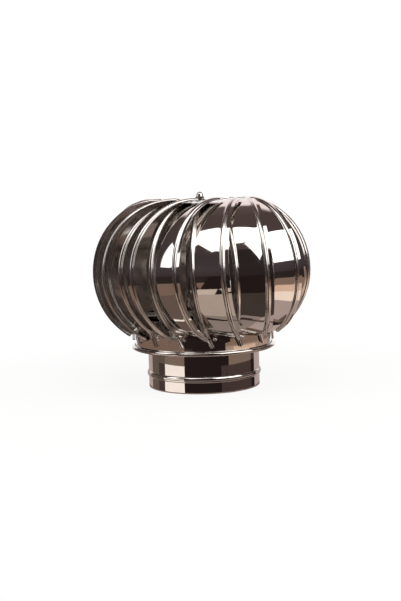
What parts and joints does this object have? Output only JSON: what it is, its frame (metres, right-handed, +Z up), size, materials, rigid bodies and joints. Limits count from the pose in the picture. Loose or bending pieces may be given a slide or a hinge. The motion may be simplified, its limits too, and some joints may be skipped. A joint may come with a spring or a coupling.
{
  "type": "rotating chimney cowl",
  "caption": "Rotating chimney cowl: a wind rotor of curved stainless-steel blades that spins on ball bearings on a fixed spindle above a round flue spigot.",
  "frame": {"origin": "centre of the spigot's lower edge, on the spindle's axis", "axes": "+Z up along the spindle, +X along the bracket and the cross strap, -Y towards the front view"},
  "size_m": [0.2897, 0.2889, 0.2601],
  "materials": {
    "polished_steel": "mirror-polished stainless-steel sheet",
    "plain_steel": "plain mill finish stainless steel",
    "bearing_steel": "ground and hardened bearing steel"
  },
  "bodies": {
    "base": {"base_collar": "polished_steel", "spindle_bracket": "plain_steel", "bracket_rivets": "polished_steel", "spindle": "plain_steel", "bracket_lower_washer": "plain_steel", "bracket_upper_washer": "plain_steel", "bracket_lower_nut": "plain_steel", "bracket_upper_nut": "plain_steel", "bearing_seat_nut": "plain_steel", "lower_inner_race": "bearing_steel", "upper_inner_race": "bearing_steel", "race_spacer": "plain_steel", "top_collar": "plain_steel", "cap_nut": "polished_steel"},
    "rotor": {"blade_01": "polished_steel", "blade_02": "polished_steel", "blade_03": "polished_steel", "blade_04": "polished_steel", "blade_05": "polished_steel", "blade_06": "polished_steel", "blade_07": "polished_steel", "blade_08": "polished_steel", "blade_09": "polished_steel", "blade_10": "polished_steel", "blade_11": "polished_steel", "blade_12": "polished_steel", "blade_13": "polished_steel", "blade_14": "polished_steel", "blade_15": "polished_steel", "top_disc": "polished_steel", "skirt_ring": "polished_steel", "cross_strap": "plain_steel", "top_blade_rivets": "polished_steel", "ring_blade_rivets": "polished_steel", "strap_rivets": "polished_steel", "upper_bearing_housing": "plain_steel", "lower_bearing_housing": "plain_steel", "upper_housing_rivets": "plain_steel", "lower_housing_rivets": "plain_steel", "upper_outer_race": "bearing_steel", "lower_outer_race": "bearing_steel"},
    "upper_balls": {"upper_bearing_balls": "bearing_steel", "upper_ball_cage": "plain_steel"},
    "lower_balls": {"lower_bearing_balls": "bearing_steel", "lower_ball_cage": "plain_steel"}
  },
  "joints": [
    {"name": "rotor_spin", "type": "hinge", "parent": "base", "child": "rotor", "pos_m": [0, 0, 0.165], "axis": [0, 0, 1], "continuous": true},
    {"name": "upper_ball_orbit", "type": "hinge", "parent": "base", "child": "upper_balls", "pos_m": [0, 0, 0.24074], "axis": [0, 0, 1], "continuous": true},
    {"name": "lower_ball_orbit", "type": "hinge", "parent": "base", "child": "lower_balls", "pos_m": [0, 0, 0.0921], "axis": [0, 0, 1], "continuous": true}
  ],
  "couplings": [
    {"joint": "upper_ball_orbit", "follows": "rotor_spin", "ratio": 0.632},
    {"joint": "lower_ball_orbit", "follows": "rotor_spin", "ratio": 0.632}
  ]
}
